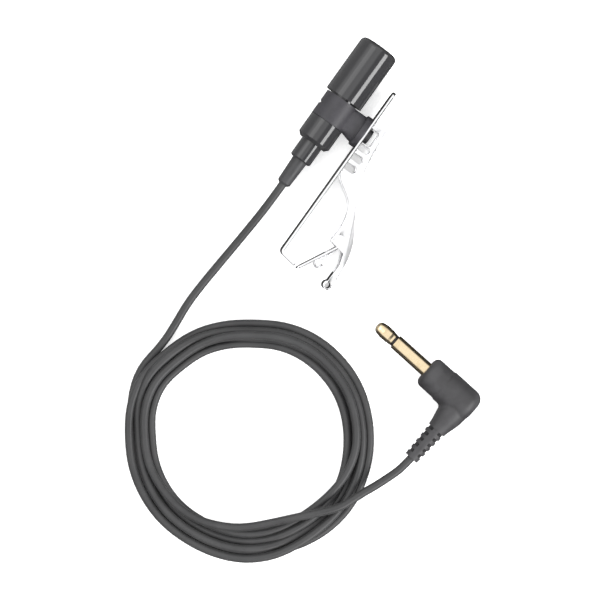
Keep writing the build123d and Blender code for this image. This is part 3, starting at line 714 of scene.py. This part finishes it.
@dataclass
class Cable:
    """The cable: from the strain relief down to the floor, round the coil and to the plug.

    The coil winds inwards in about five and a half turns. Each eighth of a turn has its
    own radius, and each turn rests on the ones that lie under it.
    """

    diameter: float = 1.9
    lead: tuple = (
        (-9.22, -12.5, 4.8),
        (-9.22, -18.7, 4.8),
        (-9.7, -25.7, 3.3),
        (-10.3, -33.4, 1.55),
        (-10.9, -41.0, 1.0),
        (-11.2, -47.6, 0.98),
        (-10.6, -53.8, 1.02),
    )
    crossing: tuple = (
        (35.46, -76.9, 3.2),
        (39.56, -72.2, 4.4),
        (42.9, -68.6, 4.75),
        (45.6, -65.3, 4.75),
    )
    tail: tuple = (
        (47.4, -60.4, 4.45),
        (48.9, -57.2, 4.5),
        (50.35, -53.6, 4.35),
        (51.637, -49.96, 4.1),
        (52.0, -46.78, 4.1),
    )
    coil_centre: tuple = (19.25, -65.71)
    coil_turn: float = 35.6
    coil_steps: int = 24
    smoothings: int = 2
    length: float = 0.94
    section_steps: int = 5
    first_angle: float = 132.0
    last_angle: float = 278.0
    outline: tuple = (
        28.15, 28.65, 28.55, 27.35, 29.05, 30.15, 27.85, 27.45, 26.95, 27.35, 27.25, 27.95,
    )
    insets: tuple = (
        (-0.6, 1.0, 1.6, 1.3, 0.1, 0.0, 0.0, 0.0),
        (1.3, 0.0, 0.0, 0.0, 1.5, 1.72, 1.75, 1.72),
        (2.2, 2.4, 2.1, 2.3, 2.9, 3.6, 3.6, 3.3),
        (4.0, 4.2, 3.8, 3.9, 4.4, 5.3, 5.3, 4.7),
        (6.0, 5.4, 5.5, 5.8, 6.1, 3.1, 2.9, 2.7),
        (4.4, 3.7, 5.0, 7.4, 7.4, 7.4, 7.4, 7.4),
    )

    def radii(self, angles: Array) -> Array:
        """The coil's radius.

        The outline has a radius for every thirty degrees, and the insets, which say how
        far each turn lies inside it, have one for every forty-five, from 135 degrees on.
        Both are joined by smooth steps: between a and b the value is
        a + (b - a) (3 t^2 - 2 t^3), where t is the share of the way.

        Args:
            angles: the angles in degrees, counted on from turn to turn.

        Returns:
            The radius at each angle, in mm.
        """

        def joined(values: Sequence[float], at: Array) -> Array:
            """The values at places between them."""
            first = np.clip(np.floor(at).astype(int), 0, len(values) - 2)
            t = np.clip(at - first, 0, 1)
            line = np.asarray(values)
            return line[first] + (line[first + 1] - line[first]) * (3 * t**2 - 2 * t**3)

        outside = joined((*self.outline, self.outline[0]), angles % FULL_TURN / OUTLINE_STEP)
        insets = [inset for turn in self.insets for inset in turn]
        inside = joined(insets, (angles - FIRST_INSET) / INSET_STEP)
        return outside - inside

    def heights(self, radii: Array) -> Array:
        """How high each point of the coil lies, so that it rests on the turns before it.

        A point lies on the floor, or where an earlier turn at the same angle is closer
        than a diameter, above it by the square root of the diameter squared less the
        distance between their radii squared. The heights are then smoothed along the cord.

        Args:
            radii: the radius at each point, in mm.

        Returns:
            The height of each point, in mm.
        """
        steps, size = self.coil_steps, self.diameter
        heights = np.full(len(radii), size / 2)
        for start in range(steps, len(radii), steps):
            now = slice(start, min(start + steps, len(radii)))
            count = len(radii[now])
            for before in range(start % steps, start, steps):
                under = slice(before, before + count)
                gap = np.abs(radii[now] - radii[under])
                rise = np.sqrt(np.clip(size**2 - gap**2, 0, None))
                low_gap = np.hypot(gap, heights[now] - heights[under])
                touching = (gap < size) & (low_gap < size)
                lifted = np.where(touching, heights[under] + rise, heights[now])
                heights[now] = np.maximum(heights[now], lifted)
        for _ in range(self.smoothings):
            heights = np.convolve(np.pad(heights, 1, "edge"), (0.25, 0.5, 0.25), "valid")
        return heights

    def coil(self) -> list:
        """Wind the coil.

        Returns:
            Its points, in mm.
        """
        step = FULL_TURN / self.coil_steps
        last = self.last_angle + FULL_TURN * (len(self.insets) - 1)
        angles = np.arange(self.first_angle, last, step)
        radii = self.radii(angles)
        heights = self.heights(radii)
        # The curve passes inside its points, so they stand this much further out.
        drawn_in = 1 + math.radians(step) ** 2 / 8
        turned = np.radians(angles + self.coil_turn)
        x = self.coil_centre[0] + radii * drawn_in * np.cos(turned)
        y = self.coil_centre[1] + radii * drawn_in * np.sin(turned)
        return list(zip(x.tolist(), y.tolist(), heights.tolist()))

    def build(self) -> bpy.types.Object:
        """Make the cable as one open curve.

        Returns:
            The cable.
        """
        route = [*self.lead, *self.coil(), *self.crossing, *self.tail]
        curve = bpy.data.curves.new("cable", "CURVE")
        curve.dimensions = "3D"
        spline = curve.splines.new("NURBS")
        spline.points.add(len(route) - 1)
        for point, place in zip(spline.points, route):
            point.co = (*(v * MM for v in place), 1.0)
        spline.order_u = 3
        spline.use_endpoint_u = True
        spline.resolution_u = 4
        curve.bevel_depth = self.diameter / 2 * MM
        curve.bevel_resolution = self.section_steps
        curve.use_fill_caps = True
        curve.materials.append(Finish.SHEATH.material())
        cable = bpy.data.objects.new("cable", curve)
        bpy.context.scene.collection.objects.link(cable)
        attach(cable, "microphone")
        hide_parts("cable_lead", "cable_coil", "cable_tail")
        log.info("laid the cable through %d points", len(route))
        return cable


# --- The microphone, its holder, its clip and its plug ----------------------------------


@dataclass
class Microphone:
    """The head, the body, the rear sleeve, the strain relief and what they hold."""

    finishes: dict = field(default_factory=lambda: {
        "head_shell": Finish.LACQUER,
        "front_grille": Finish.LACQUER,
        "grille_cloth": Finish.WEAVE,
        "capsule_boot": Finish.RUBBER,
        "capsule_can": Finish.ALUMINIUM,
        "diaphragm": Finish.BRASS,
        "diaphragm_spacer": Finish.WHITE,
        "back_plate": Finish.BRASS,
        "plate_cup": Finish.WHITE,
        "contact_ring": Finish.BRASS,
        "circuit_board": Finish.BOARD,
        "transistor": Finish.RIVET,
        "solder_pads": Finish.SOLDER,
        "body_shell": Finish.LACQUER,
        "rear_sleeve": Finish.LACQUER,
        "relief_boot": Finish.RUBBER,
        "cable_crimp": Finish.SOLDER,
        "cable_end": Finish.SHEATH,
        "capsule_wires": Finish.WIRE,
    })

    def build(self) -> None:
        """Dress the microphone."""
        for node, finish in self.finishes.items():
            dress(node, finish)


@dataclass
class Holder:
    """The turning holder and its rivet."""

    def build(self) -> None:
        """Dress the holder."""
        dress("holder", Finish.HOLDER)
        dress("swivel_rivet", Finish.RIVET)


@dataclass
class Clip:
    """The sprung clip: its base, its lever, its spring and its pivot pin."""

    edge: float = 0.2 * MM
    pivot: tuple = (9.0, -15.5, 3.097)
    leg_way: tuple = (0.457, -0.888, -0.043)
    leg_start: float = 1.0
    leg_end: float = 5.0
    leg_cuts: int = 9

    def build(self) -> None:
        """Round the bent sheet's edges, cut the spring into rings and dress the pin."""
        for node, body in (("clip_base", "clip"), ("clip_lever", "lever")):
            piece = rounded_copy(node, body, Finish.NICKEL, self.edge)
        dress("pivot_pin", Finish.NICKEL)
        pivot, way = Vector(self.pivot), Vector(self.leg_way)
        start, end = ((pivot + way * far) * MM for far in (self.leg_start, self.leg_end))
        flexing_copy("clip_spring", Finish.STEEL, start, end, self.leg_cuts)


@dataclass
class Plug:
    """The right-angle plug."""

    def build(self) -> None:
        """Dress the plug."""
        dress("plug_tip", Finish.GOLD)
        dress("plug_sleeve", Finish.GOLD)
        dress("plug_insulator", Finish.INSULATOR)
        dress("plug_core", Finish.INSULATOR)
        dress("plug_housing", Finish.HOUSING)


def main() -> None:
    """Build the stage, the cable and every sub-assembly in order."""
    Studio().build()
    Cable().build()
    Microphone().build()
    Holder().build()
    Clip().build()
    Plug().build()


if __name__ == "__main__":
    main()
